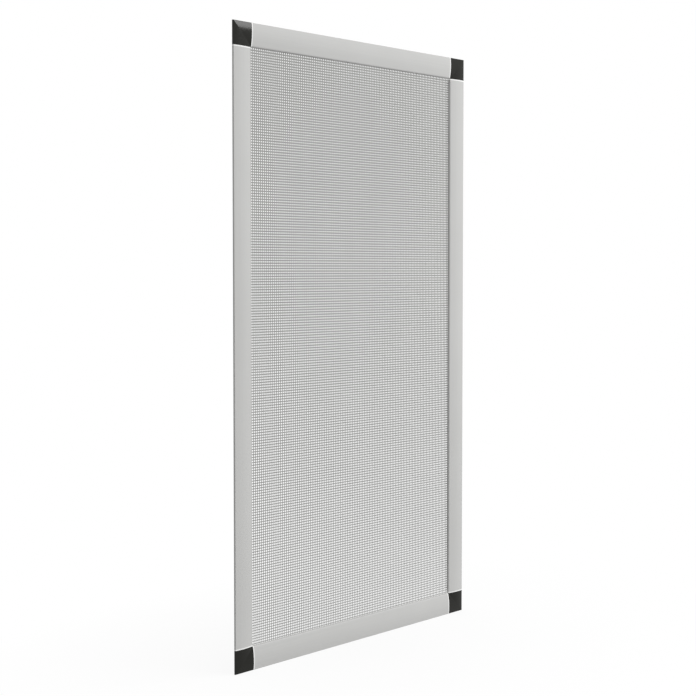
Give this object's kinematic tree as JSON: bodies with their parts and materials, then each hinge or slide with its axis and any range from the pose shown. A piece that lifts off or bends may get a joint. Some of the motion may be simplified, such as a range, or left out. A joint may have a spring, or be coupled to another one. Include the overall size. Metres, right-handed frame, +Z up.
{
  "type": "window screen frame",
  "caption": "Flat insect screen for a window: cambered aluminium rails on dark plastic corners, with a woven mesh held by spline in a groove at the back.",
  "frame": {"origin": "middle of the bottom edge's flat face", "axes": "+Z up along the stiles, +X to the right as seen from the front, +Y towards the back, where the spline groove is; the cambered face looks along -Y"},
  "size_m": [0.55, 0.0078, 1],
  "materials": {
    "rail_finish": "satin light grey coat on extruded aluminium",
    "corner_plastic": "charcoal moulded plastic, satin",
    "mesh_yarn": "grey coated glass-fibre yarn, woven",
    "spline_cord": "black ribbed cord, matt"
  },
  "bodies": {
    "root": {"top_rail": "rail_finish", "bottom_rail": "rail_finish", "left_stile": "rail_finish", "right_stile": "rail_finish", "corner_top_left": "corner_plastic", "corner_top_right": "corner_plastic", "corner_bottom_left": "corner_plastic", "corner_bottom_right": "corner_plastic", "insect_mesh": "mesh_yarn", "spline_top": "spline_cord", "spline_bottom": "spline_cord", "spline_left": "spline_cord", "spline_right": "spline_cord"}
  },
  "joints": []
}
